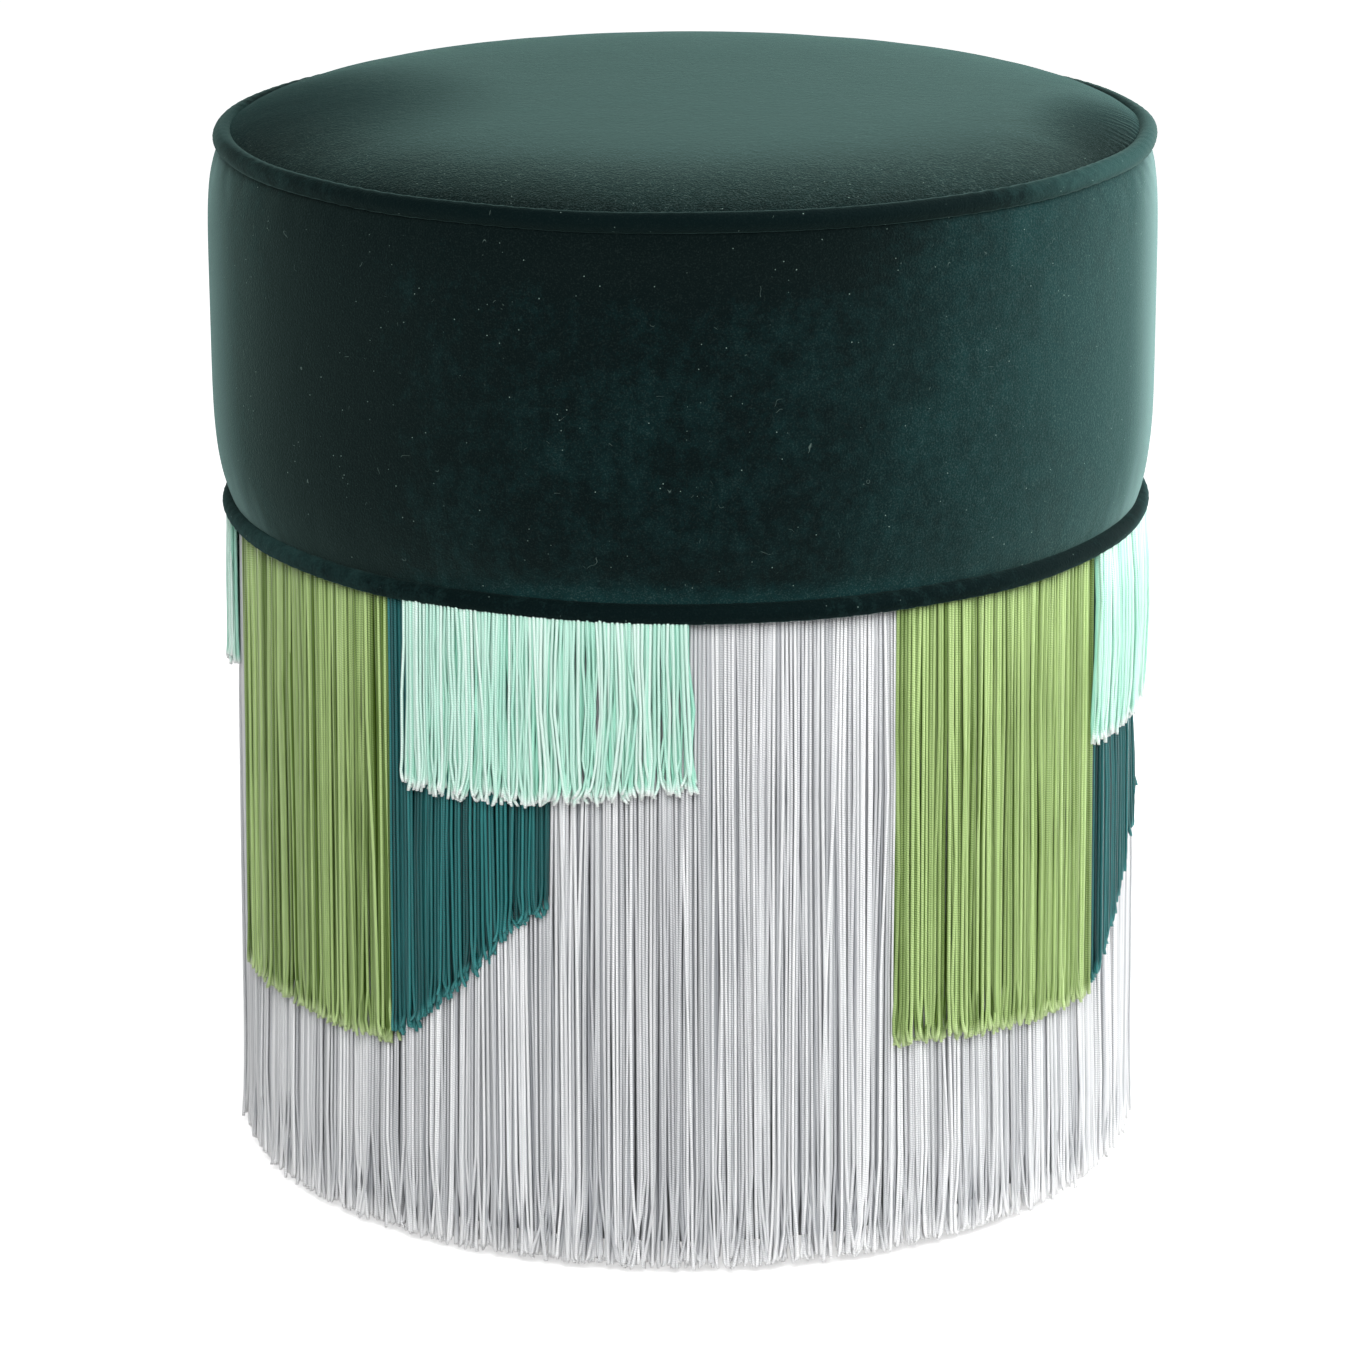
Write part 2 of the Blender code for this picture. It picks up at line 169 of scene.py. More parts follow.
def mathNode(tree, operation, *operands):
    # each operand is a number or an output socket
    return addNode(tree, "Math", dict(enumerate(operands)), operation=operation)[0]


def vectorNode(tree, operation, *operands):
    outputs = addNode(tree, "VectorMath", dict(enumerate(operands)), operation=operation)
    return outputs["Value" if operation == "LENGTH" else "Vector"]


def times(tree, first, second):
    return mathNode(tree, "MULTIPLY", first, second)


def timesPlus(tree, first, second, third):
    # first times second, plus third
    return mathNode(tree, "MULTIPLY_ADD", first, second, third)


def centred(tree, noise):
    return mathNode(tree, "SUBTRACT", noise, 0.5)


def noiseNode(tree, vector, scale, detail=2.0, roughness=0.5):
    inputs = {"Vector": vector, "Scale": scale, "Detail": detail, "Roughness": roughness}
    return addNode(tree, "TexNoise", inputs)["Fac"]


def mixColors(tree, factor, first, second):
    # first where the factor is 0, second where it is 1
    return addNode(tree, "Mix", {0: factor, 6: first, 7: second}, data_type="RGBA")[2]


def rangeNode(tree, value, low, high, newLow=0.0, newHigh=1.0):
    # a smooth step from the new low at low to the new high at high
    inputs = {"Value": value, "From Min": low, "From Max": high, "To Min": newLow, "To Max": newHigh}
    return addNode(tree, "MapRange", inputs, interpolation_type="SMOOTHSTEP")["Result"]


def objectPoint(tree):
    return addNode(tree, "TexCoord", {})["Object"]


def bumpNormal(tree, height, distance, strength):
    return addNode(tree, "Bump", {"Height": height, "Distance": distance, "Strength": strength})["Normal"]


def patchShare(tree, point, place, size):
    # 1 in the middle of a patch, fading to 0 where it ends, at its half size each way
    shares = vectorNode(tree, "DIVIDE", vectorNode(tree, "SUBTRACT", point, place), size)
    return rangeNode(tree, vectorNode(tree, "LENGTH", shares), 0.1, 1.0, 1.0, 0.0)


def pullWaves(tree, point, pulls):
    # small pulls square to the seam: a wave round the pouf, kept to one patch of it
    axes = addNode(tree, "SeparateXYZ", {0: point})
    turn = mathNode(tree, "ARCTAN2", axes["X"], axes["Y"])
    swerve = times(tree, noiseNode(tree, point, 75.0), 16.0)
    wave = mathNode(tree, "SINE", timesPlus(tree, turn, pulls["count"], swerve))
    share = patchShare(tree, point, pulls["place"], pulls["size"])
    return times(tree, times(tree, wave, share), pulls["height"])


surface = {"Color": "Color", "Height": "Float"}  # what each pattern puts out


def buildNapGroup(name, look):
    # velvet's pile: broad and cloudy strokes where it lies the other way, patches where it leans and its
    # colour is painted lighter or darker, mostly painted light and shade, fine grain, fuzz, and stray lint,
    # which is specks and short curved hairs
    inputs = {"Point": "Vector", "Normal": "Vector", "Color": "Color", "BrushedAndLit": "Color", "Lint": "Color",
              "Fuzz": "Float"}
    tree, given, out = newGroup(name, inputs, {**surface, "Roughness": "Float", "Normal": "Vector"})
    point, leaning = given["Point"], given["Normal"]
    broad = noiseNode(tree, point, 9.0, 3.0, 0.6)
    cloudy = noiseNode(tree, point, 42.0, 3.0, 0.6)
    mottled = noiseNode(tree, point, look["mottling"], 2.0, 0.6)
    grain = noiseNode(tree, point, 1050.0, 2.0, 0.6)
    strokes = timesPlus(tree, cloudy, 0.45, times(tree, broad, 0.55))
    brushedAndLitShare = timesPlus(tree, centred(tree, mottled), 0.8, rangeNode(tree, strokes, 0.38, 0.70, 0.0, 0.4))
    # each patch tilts the pile's normal and paints light or shade into the colour, by raising or lowering the
    # share of the lighter pile colour
    for place, size, lean, light in look["leanAndPaintedLight"]:
        amount = times(tree, patchShare(tree, point, place, size), timesPlus(tree, strokes, 0.3, 0.85))
        leaning = vectorNode(tree, "MULTIPLY_ADD", amount, lean, leaning)
        brushedAndLitShare = timesPlus(tree, amount, light, brushedAndLitShare)
    grainBrushedAndLitShare = timesPlus(tree, centred(tree, grain), 0.6, brushedAndLitShare)
    pile = mixColors(tree, grainBrushedAndLitShare, given["Color"], given["BrushedAndLit"])
    cells = addNode(tree, "TexVoronoi", {"Vector": point, "Scale": 260.0})["Distance"]
    speck = rangeNode(tree, cells, 0.03, 0.075, 1.0, 0.0)
    rare = rangeNode(tree, noiseNode(tree, point, 90.0, 1.0), 0.49, 0.60, 0.0, 0.9)
    winding = mathNode(tree, "ABSOLUTE", centred(tree, noiseNode(tree, point, 130.0, 1.0)))
    hair = rangeNode(tree, winding, 0.002, 0.006, 1.0, 0.0)
    strewn = rangeNode(tree, noiseNode(tree, point, 150.0, 0.0), 0.77, 0.80, 0.0, 0.25)
    lint = mathNode(tree, "MAXIMUM", times(tree, speck, rare), times(tree, hair, strewn))
    fuzz = rangeNode(tree, noiseNode(tree, point, 1500.0, 1.0), 0.5, 0.72)
    standing = times(tree, rangeNode(tree, brushedAndLitShare, 0.0, 1.0, 0.25, 1.0), given["Fuzz"])
    lint = mathNode(tree, "MAXIMUM", lint, times(tree, fuzz, standing))
    height = timesPlus(tree, cloudy, 0.6, timesPlus(tree, mottled, look["mottle"], grain))
    if "pulls" in look:
        height = mathNode(tree, "ADD", height, pullWaves(tree, point, look["pulls"]))
    setInputs(tree, out, {
        "Color": mixColors(tree, lint, pile, given["Lint"]),
        "Height": height,
        "Roughness": rangeNode(tree, strokes, 0.3, 0.7, 0.8, 0.95),
        "Normal": vectorNode(tree, "NORMALIZE", leaning),
    })
    return tree


def buildThreadGroup():
    # a twisted strand: plies that wind round it, from its own UV map, where V is metres along it, with
    # painted shade in the grooves between the plies; hanks of strands are a little lighter or darker, and
    # frayed ends are paler
    inputs = {"UV": "Vector", "Point": "Vector", "Tone": "Float", "Frayed": "Float", "Twist": "Float",
              "Color": "Color", "Shade": "Color", "Tip": "Color"}
    tree, given, out = newGroup("twistedThread", inputs, surface)
    axes = addNode(tree, "SeparateXYZ", {0: given["UV"]})
    hank = addNode(tree, "Mapping", {"Vector": given["Point"], "Scale": (1.0, 1.0, 0.10)})["Vector"]
    wound = mathNode(tree, "ADD", mathNode(tree, "DIVIDE", axes["Y"], given["Twist"]), axes["X"])
    ply = mathNode(tree, "ABSOLUTE", mathNode(tree, "SINE", times(tree, wound, pi)))
    ropy = mathNode(tree, "POWER", ply, 0.6)
    toned = timesPlus(tree, mathNode(tree, "SUBTRACT", 1.0, ropy), 0.6, given["Tone"])
    toned = timesPlus(tree, centred(tree, noiseNode(tree, hank, 330.0)), 0.5, toned)
    twisted = mixColors(tree, toned, given["Color"], given["Shade"])
    setInputs(tree, out, {"Color": mixColors(tree, given["Frayed"], twisted, given["Tip"]), "Height": ropy})
    return tree


def buildWeaveGroup():
    # a plain weave: waves along the object's axes that cross, with slubs, and painted shade where the weave
    # lies low
    inputs = {"Point": "Vector", "Thread": "Float", "Color": "Color", "Shade": "Color"}
    tree, given, out = newGroup("plainWeave", inputs, surface)
    axes = addNode(tree, "SeparateXYZ", {0: given["Point"]})
    angle = mathNode(tree, "DIVIDE", pi, given["Thread"])
    waves = [mathNode(tree, "SINE", times(tree, axes[axis], angle)) for axis in "XYZ"]
    crossed = times(tree, mathNode(tree, "ADD", waves[0], waves[1]), waves[2])
    flat = times(tree, waves[0], waves[1])
    weave = rangeNode(tree, mathNode(tree, "ADD", crossed, flat), -1.0, 1.0)
    slubsAndWeaveShade = timesPlus(tree, noiseNode(tree, given["Point"], 260.0, 3.0), 0.5, times(tree, weave, 0.5))
    setInputs(tree, out, {"Color": mixColors(tree, slubsAndWeaveShade, given["Shade"], given["Color"]), "Height": weave})
    return tree


def buildWoodGroup():
    # long grain: noise drawn out along Z, with darker rings
    inputs = {"Point": "Vector", "Color": "Color", "Shade": "Color"}
    tree, given, out = newGroup("woodGrain", inputs, surface)
    drawnOut = addNode(tree, "Mapping", {"Vector": given["Point"], "Scale": (1.0, 1.0, 0.06)})["Vector"]
    rings = mathNode(tree, "SINE", times(tree, noiseNode(tree, drawnOut, 45.0), 40.0))
    grain = timesPlus(tree, rings, 0.2, noiseNode(tree, drawnOut, 420.0, 4.0, 0.65))
    share = rangeNode(tree, grain, 0.2, 0.8)
    setInputs(tree, out, {"Color": mixColors(tree, share, given["Shade"], given["Color"]), "Height": grain})
    return tree


velvet = {
    "color": (0.0012, 0.0042, 0.0046, 1),
    "lint": (0.28, 0.40, 0.36, 1),
    "sheenTint": (0.30, 0.52, 0.47, 1),
    "sheenRoughness": 0.48,
    "gloss": 0.02,
    "paintedSheenRange": (0.66, 0.98),  # how far it faces away where the painted sheen colour starts, and where it is full
    "bump": 0.9,
    "mottling": 170.0,  # how fine the pile's mottled patches are
    "mottle": 0.3,  # and how deep
}
# a mark is a patch: its middle, half size, how the pile leans there, which tilts the shading normal, and how
# much lighter it is; most marks paint light or shade into the colour, as noted at each
seatLook = {
    **velvet,
    # the lighter pile colour, for pile that lies the other way and for painted light
    "brushedAndLit": (0.0055, 0.0190, 0.0195, 1),
    # painted sheen: a colour mixed in where the seat is seen edge-on
    "edge": (0.01, 0.03, 0.03, 1),
    "sheen": 0.335,
    "pile": 0.00042,  # depth of the grain
    "mottling": 300.0,
    "mottle": 0.75,
    "fuzz": 0.30,
    "leanAndPaintedLight": [
        # the seat's left end: pile leant to the front and painted shade, darker on the side away from the
        # lamps
        ((-0.180, -0.015, 0.455), (0.118, 0.13, 0.12), (0, -0.38, 0), -0.5),
        # the seat's right end by the welt: pile leant to the front and painted shade, darker where the cloth
        # tucks in
        ((0.188, -0.055, 0.455), (0.052, 0.085, 0.08), (0, -0.42, 0), -0.4),
    ],
    "pulls": {"place": (0.190, -0.050, 0.450), "size": (0.024, 0.075, 0.04), "count": 190, "height": 0.6},
}
bandLook = {
    **velvet,
    # the lighter pile colour, for pile that lies the other way and for painted light
    "brushedAndLit": (0.0050, 0.0260, 0.0270, 1),
    # painted sheen: a lighter colour where the band is seen edge-on
    "edge": (0.150, 0.240, 0.232, 1),
    "sheen": 0.32,
    "pile": 0.00030,
    "fuzz": 0.075,
    "leanAndPaintedLight": [
        # the band's right side: painted light, lighter towards the lamps
        ((0.190, -0.050, 0.350), (0.25, 0.25, 0.30), (0, 0, 0), 1.0),
        # the band's front left: pile leant to the front and painted shade, darker away from the lamps
        ((-0.155, -0.130, 0.360), (0.075, 0.075, 0.25), (0, -0.10, 0), -0.5),
        # under the top welt at the front: pile leant down and a painted shadow of the welt
        ((0.000, -0.205, 0.438), (0.20, 0.09, 0.035), (0, 0, -0.50), -0.5),
        # just above the lower welt at the front: pile leant up and painted light where it faces up
        ((0.000, -0.205, 0.288), (0.22, 0.09, 0.013), (0, 0, 0.70), 0.8),
    ],
}
weltLook = {
    **velvet,
    "color": (0.0018, 0.0062, 0.0066, 1),
    # the lighter pile colour, for pile that lies the other way and for painted light
    "brushedAndLit": (0.018, 0.050, 0.048, 1),
    # painted sheen: a thin lighter line where the welt is seen edge-on
    "edge": (0.05, 0.09, 0.085, 1),
    "sheen": 0.12,
    "pile": 0.00040,
    "fuzz": 0.03,
    "leanAndPaintedLight": [
        # both welts all over a little darker
        ((0, 0, 0.360), (9, 9, 9), (0, 0, 0), -0.15),
        # the top welt's front: pile leant down and painted shade, darker
        ((-0.010, -0.205, 0.444), (0.20, 0.11, 0.06), (0, 0, -0.15), -0.6),
        # the top welt's right end: painted light, lighter towards the lamps
        ((0.185, -0.060, 0.444), (0.13, 0.13, 0.13), (0, 0, 0), 1.5),
        # the top welt's left end: painted light, lighter
        ((-0.190, 0.000, 0.444), (0.08, 0.08, 0.08), (0, 0, 0), 0.5),
        # the lower welt's left: painted light, a lighter lit flank
        ((-0.160, -0.090, 0.284), (0.13, 0.13, 0.13), (0, 0, 0), 0.45),
    ],
}
# the lower welt: a darker copy of the welt's velvet, with less sheen and a darker edge colour, as painted
# shade under the band's bulge
shadedLowerWeltLook = {**weltLook, "edge": (0.02, 0.05, 0.05, 1), "sheen": 0.07}
threadLooks = {
    # colour, painted shade between the plies and on the rows further in, cut end, gloss
    "grey": ((0.96, 0.97, 0.98, 1), (0.36, 0.375, 0.40, 1), (0.96, 0.96, 0.96, 1), 0.6),
    "green": ((0.49, 0.67, 0.265, 1), (0.060, 0.12, 0.005, 1), (0.58, 0.72, 0.36, 1), 0.28),
    "teal": ((0.028, 0.22, 0.22, 1), (0.0006, 0.020, 0.022, 1), (0.05, 0.27, 0.27, 1), 0.22),
    "mint": ((0.80, 0.97, 0.90, 1), (0.34, 0.74, 0.58, 1), (0.94, 0.97, 0.95, 1), 0.6),
}
threadGroup = buildThreadGroup()
weaveGroup = buildWeaveGroup()
woodGroup = buildWoodGroup()


def makeVelvet(name, look):
    # the nap's colour, with a painted sheen: a lighter edge colour mixed in where the surface is seen
    # edge-on, under a constant sheen
    material, tree, shader = newMaterial(name)
    nap = addNode(tree, "Group", {
        "Point": objectPoint(tree), "Normal": addNode(tree, "NewGeometry", {})["Normal"],
        "Color": look["color"], "BrushedAndLit": look["brushedAndLit"], "Lint": look["lint"], "Fuzz": look["fuzz"],
    }, node_tree=buildNapGroup(name + "Nap", look))
    # painted sheen: the edge colour grows where the surface turns away from the view, as velvet shines when
    # seen edge-on
    sideways = rangeNode(tree, addNode(tree, "LayerWeight", {})["Facing"], *look["paintedSheenRange"])
    bump = addNode(tree, "Bump", {
        "Height": nap["Height"], "Distance": look["pile"], "Strength": look["bump"], "Normal": nap["Normal"],
    })
    setInputs(tree, shader, {
        "Base Color": mixColors(tree, sideways, nap["Color"], look["edge"]),
        "Roughness": nap["Roughness"],
        "Normal": bump["Normal"],
        "Sheen Weight": look["sheen"],
        "Sheen Roughness": look["sheenRoughness"],
        "Sheen Tint": look["sheenTint"],
        "Specular IOR Level": look["gloss"],
    })
    return material


def makeThread(name, color, shade, tip, gloss):
    material, tree, shader = newMaterial(name)
    thread = addNode(tree, "Group", {
        "UV": addNode(tree, "TexCoord", {})["UV"], "Point": objectPoint(tree),
        "Tone": addNode(tree, "Attribute", {}, attribute_name="tone")["Fac"],
        "Frayed": addNode(tree, "Attribute", {}, attribute_name="frayed")["Fac"],
        "Twist": 0.0010, "Color": color, "Shade": shade, "Tip": tip,
    }, node_tree=threadGroup)
    normal = bumpNormal(tree, thread["Height"], 0.0003, 0.8)
    setInputs(tree, shader, {
        "Base Color": thread["Color"], "Normal": normal, "Roughness": 0.32, "Specular IOR Level": gloss,
    })
    return material


def makeFrom(name, group, inputs, roughness, gloss, depth, strength):
    # a material whose colour and surface come from a group on object coordinates
    material, tree, shader = newMaterial(name)
    made = addNode(tree, "Group", {"Point": objectPoint(tree), **inputs}, node_tree=group)
    normal = bumpNormal(tree, made["Height"], depth, strength)
    setInputs(tree, shader, {
        "Base Color": made["Color"], "Normal": normal, "Roughness": roughness, "Specular IOR Level": gloss,
    })
    return material


def makeWeave(name, color, shade, thread, roughness):
    inputs = {"Color": color, "Shade": shade, "Thread": thread}
    return makeFrom(name, weaveGroup, inputs, roughness, 0.2, thread * 0.3, 0.6)


def makeWood(name, color, shade):
    return makeFrom(name, woodGroup, {"Color": color, "Shade": shade}, 0.6, 0.3, 0.0002, 0.5)


def makeGrained(name, color, roughness, metallic, grain, depth):
    # plastic, metal or foam: an even colour whose gloss and surface vary with a fine grain
    material, tree, shader = newMaterial(name)
    fine = noiseNode(tree, objectPoint(tree), grain, 3.0)
    darker = tuple(channel * 0.8 for channel in color[:3]) + (1,)
    setInputs(tree, shader, {
        "Base Color": mixColors(tree, fine, darker, color),
        "Roughness": rangeNode(tree, fine, 0.3, 0.7, roughness - 0.08, roughness + 0.08),
        "Normal": bumpNormal(tree, fine, depth, 0.5),
        "Metallic": metallic,
    })
    return material


seatMaterial = makeVelvet("seatVelvet", seatLook)
bandMaterial = makeVelvet("bandVelvet", bandLook)
weltMaterial = makeVelvet("weltVelvet", weltLook)
shadedLowerWeltMaterial = makeVelvet("shadedLowerWeltVelvet", shadedLowerWeltLook)
foamMaterial = makeGrained("yellowFoam", (0.80, 0.75, 0.58, 1), 0.9, 0.0, 1100.0, 0.0004)
slotMaterials = {
    "velvet": bandMaterial,
    "foam": foamMaterial,
    "batting": foamMaterial,
    "lining": makeWeave("liningCloth", (0.42, 0.43, 0.44, 1), (0.30, 0.305, 0.31, 1), 0.0007, 0.85),
    "dust_cloth": makeWeave("dustCloth", (0.022, 0.022, 0.023, 1), (0.010, 0.010, 0.010, 1), 0.0016, 0.9),
    "cord": makeWeave("cottonCord", (0.80, 0.78, 0.72, 1), (0.60, 0.57, 0.50, 1), 0.0012, 0.9),
    "plywood": makeWood("birchPlywood", (0.62, 0.44, 0.26, 1), (0.42, 0.28, 0.15, 1)),
    "pine": makeWood("planedPine", (0.68, 0.47, 0.25, 1), (0.45, 0.28, 0.13, 1)),
    "steel": makeGrained("zincSteel", (0.55, 0.56, 0.57, 1), 0.35, 1.0, 900.0, 0.00005),
    "glide_plastic": makeGrained("blackPlastic", (0.025, 0.025, 0.026, 1), 0.45, 0.0, 1500.0, 0.00006),
}
for color, look in threadLooks.items():
    slotMaterials[f"{color}_thread"] = makeThread(f"{color}Thread", *look)
print("materials made")


# Places from the frame

welt = {
    "radius": 0.0044,  # of the piped edge, its cloth included
    "sides": 20,
    "steps": 432,
    "creases": 0.00018,  # how far the bias strip's creases stand out
    "creaseWave": 0.0085,
    "creaseSlant": 1.6,
    "wave": 0.00025,  # how far the welt strays from a true circle
    "join": 0.0007,  # how much thicker it is where its ends overlap, at the back
    "joinLength": 0.007,
}
upperLow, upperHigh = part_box("upper_welt")
weltCircle = upperHigh[0] - welt["radius"]
weltLength = 2 * pi * weltCircle
upperHeight = upperHigh[2] - welt["radius"]
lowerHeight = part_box("lower_welt")[0][2] + welt["radius"]
bandLow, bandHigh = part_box("velvet_band")
seatLow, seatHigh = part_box("velvet_seat")
sunken = {
    "depth": 0.0016,  # how far the top seam has sunk at the back
    "from": radians(80),  # angle from the front at which it starts to sink
    "to": radians(130),
    "height": 0.05,  # of the part below the seam that sinks with it
    "power": 7,  # of its curve from the middle out
}


def sinkBack(points):
    # lowers what is near the top seam by the depth, growing from the sides to the back and out to the welt
    turn = np.abs(np.arctan2(points[..., 0], -points[..., 1]))
    around = smoothStep((turn - sunken["from"]) / (sunken["to"] - sunken["from"]))
    upwards = smoothStep((points[..., 2] - upperHeight) / sunken["height"] + 1)
    outwards = np.minimum(np.hypot(points[..., 0], points[..., 1]) / weltCircle, 1) ** sunken["power"]
    lowered = points.copy()
    lowered[..., 2] -= sunken["depth"] * around * upwards * outwards
    return lowered


# Welts

def addWelt(name, node, points, material, slot, uv=None):
    # a closed ring, from its points by step round the pouf and side round the ring
    faces = gridFaces(welt["steps"], welt["sides"], True)[:, ::-1]
    finishPiece(addPiece(name, sinkBack(points.reshape(-1, 3)), faces, material, uv), slot, node)


def weltTurns():
    # the angles round the pouf as a column, and those round the piping as a row
    return fullTurn(welt["steps"])[:, None], fullTurn(welt["sides"])


def makeWelt(name, node, height, material, seed):
    # a circle of piping: each ring has the welt's radius, creased along the strip, and strays a little
    random = np.random.default_rng(seed)
    turn, round_ = weltTurns()
    along = turn * weltCircle
    creaseTurn = 2 * pi * np.round(weltLength / welt["creaseWave"]) / weltLength
    waves = random.uniform(0, 2 * pi, 8)
    patch = 0.5 + 0.5 * np.sin(7 * turn + waves[0]) * np.sin(11 * turn + waves[1])
    slanted = creaseTurn * along + welt["creaseSlant"] * round_
    crease = np.sin(slanted + waves[2] + 1.5 * np.sin(5 * turn + waves[3]))
    thicker = welt["join"] * np.exp(-((turn - pi) * weltCircle / welt["joinLength"]) ** 2)
    radius = welt["radius"] - welt["creases"] + welt["creases"] * patch * crease + thicker * 0.5
    strayOut = welt["wave"] * (np.sin(9 * turn + waves[4]) + np.sin(17 * turn + waves[5])) * 0.5
    strayUp = welt["wave"] * (np.sin(8 * turn + waves[6]) + np.sin(13 * turn + waves[7])) * 0.5
    out = weltCircle + strayOut + radius * np.cos(round_)
    up = height + strayUp + radius * np.sin(round_)
    uv = np.stack(np.broadcast_arrays(along / weltLength, round_ / (2 * pi)), axis=-1).reshape(-1, 2)
    addWelt(name, node, polar(out, turn, up), material, "velvet", uv)


def makeCord(name, node, height):
    # the cord inside a welt: a plain ring with the thickness of its CAD solid
    low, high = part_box(node)
    turn, round_ = weltTurns()
    half = (high[2] - low[2]) / 2
    points = polar(weltCircle + half * np.cos(round_), turn, height + half * np.sin(round_))
    addWelt(name, node, points, slotMaterials["cord"], "cord")


makeWelt("upperWelt", "upper_welt", upperHeight, weltMaterial, 11)
makeCord("upperCord", "upper_welt_cord", upperHeight)
makeWelt("lowerWelt", "lower_welt", lowerHeight, shadedLowerWeltMaterial, 12)
print("welts made")


# Velvet seat and band

seat = {
    "rings": 44,
    "steps": 216,
    "crowding": 0.9,  # of the rings towards the welt
    "power": 8.0,  # of the crown's curve
    "tuck": 0.0010,  # how far the cloth dips behind the welt
    "tuckWidth": 0.003,
    "overlap": 0.0016,  # how far the cloth runs on under the welt
    "thickness": 0.0014,
    "pressure": 2.5,
    "spare": -0.012,  # cloth cut a little large, as a negative shrinkage
    "cap": 0.0022,
    "ripple": 0.08,  # share of the cloth's folds that the tight cover keeps
    "pull": 0.00026,  # height of the small pulls along the welt
    "pullPitch": 0.0065,
    "pullReach": 0.009,  # distance from the welt over which they fade
    "pullTurn": 1.45,  # angle from the front at which they are strongest, and their spread
    "pullSpread": 0.45,
}
band = {
    "rows": 42,
    "steps": 288,
    "lowPower": 4.6,  # of the bulge's curve towards the lower welt
    "highPower": 6.4,
    "lowSeam": 0.0002,  # how far its edge is outside the middle of the lower welt
    "highSeam": 0.0016,  # and of the upper one
    "overlap": 0.0022,
    "thickness": 0.0014,
    "pressure": 2.0,
    "spare": -0.010,
    "cap": 0.0014,
    "backSeam": 0.0011,  # depth of the upright seam at the back
    "backSeamWidth": 0.0022,
    "ripple": 0.15,
    "pullReach": 0.014,
    "lean": -0.0010,  # the band's padding sits a little to the left
}
clothFrames = 18


def settleCloth(piece, pinned, look):
    # lets the cloth settle: it is pinned along its seams, cut slightly large and blown up from inside
    group = piece.vertex_groups.new(name="seams")
    group.add([int(index) for index in pinned], 1.0, "REPLACE")
    modifier = piece.modifiers.new("cloth", "CLOTH")
    cloth = modifier.settings
    cloth.quality = 6
    cloth.mass = 0.25
    cloth.tension_stiffness = cloth.compression_stiffness = 25
    cloth.shear_stiffness = 12
    cloth.bending_stiffness = 0.6
    cloth.air_damping = 4
    cloth.vertex_group_mass = "seams"
    cloth.use_pressure = True
    cloth.uniform_pressure_force = look["pressure"]
    cloth.shrink_min = look["spare"]
    cloth.effector_weights.gravity = 0
    modifier.collision_settings.use_self_collision = False
    modifier.point_cache.frame_start = 1
    modifier.point_cache.frame_end = clothFrames
    scene = bpy.context.scene
    for number in range(1, clothFrames + 1):
        scene.frame_set(number)
    points = meshPoints(piece.evaluated_get(bpy.context.evaluated_depsgraph_get()).data)
    piece.modifiers.remove(modifier)
    piece.vertex_groups.clear()
    scene.frame_set(1)
    return points


def keptRipple(label, moved, look):
    # how far the cloth moved, less each ring's mean: held within the cap, and a share of it kept
    ripple = np.clip(moved - moved.mean(axis=1, keepdims=True), -look["cap"], look["cap"])
    print(label, "ripple", round(float(np.abs(ripple).max()) * 1000, 2), "mm")
    return look["ripple"] * ripple


def smallPulls(turn, reach, fade):
    # short waves square to a welt, strongest at the right, that fade with the distance from it
    patch = 0.35 + 0.65 * np.exp(-((turn - seat["pullTurn"]) / seat["pullSpread"]) ** 2)
    broken = 0.6 + 0.4 * np.sin(23 * turn) * np.sin(41 * turn + 1)
    slant = turn * weltCircle + reach * 0.5
    wave = np.sin(2 * pi * slant / seat["pullPitch"] + 2 * np.sin(9 * turn))
    return patch * broken * wave * np.exp(-reach / fade)


def addThickness(piece, thickness):
    # velvet's own thickness, inwards, and one level of subdivision
    solid = piece.modifiers.new("thickness", "SOLIDIFY")
    solid.thickness = thickness
    solid.offset = -1
    solid.use_even_offset = True
    smooth = piece.modifiers.new("smooth", "SUBSURF")
    smooth.levels = smooth.render_levels = 1


def seatGrid():
    # rings from the middle out: the crown falls as a power of the radius and dips behind the welt
    edge = weltCircle - welt["radius"] + seat["overlap"]
    share = np.sin(pi / 2 * np.linspace(0, 1, seat["rings"] + 1)[1:]) ** seat["crowding"]
    radius = edge * share[:, None]
    crown = seatHigh[2] - seatLow[2] - seat["thickness"]
    fall = (radius / edge) ** seat["power"]
    tuck = seat["tuck"] * np.exp(-(edge - radius) / seat["tuckWidth"])
    height = seatHigh[2] - crown * fall - tuck + seat["tuck"] * np.exp(-edge / seat["tuckWidth"])
    return radius, fullTurn(seat["steps"]), height


def makeSeat():
    rings, steps = seat["rings"], seat["steps"]
    radius, turn, height = seatGrid()
    points = np.concatenate([polar(radius, turn, height).reshape(-1, 3), [[0, 0, seatHigh[2]]]])
    inner = np.arange(steps)
    fan = np.stack([np.full(steps, rings * steps), inner, (inner + 1) % steps], axis=-1)
    piece = addPiece("velvetSeat", points, [gridFaces(rings, steps)[:, ::-1], fan], seatMaterial)
    settled = settleCloth(piece, np.arange((rings - 1) * steps, rings * steps), seat)
    points[:-1, 2] += keptRipple("seat", (settled - points)[:-1, 2].reshape(rings, steps), seat).ravel()
    points[:-1, 2] += (seat["pull"] * smallPulls(turn, radius.max() - radius, seat["pullReach"])).ravel()
    setAll(piece.data.vertices, "co", sinkBack(points))
    addThickness(piece, seat["thickness"])
    finishPiece(piece, "velvet", "velvet_seat")


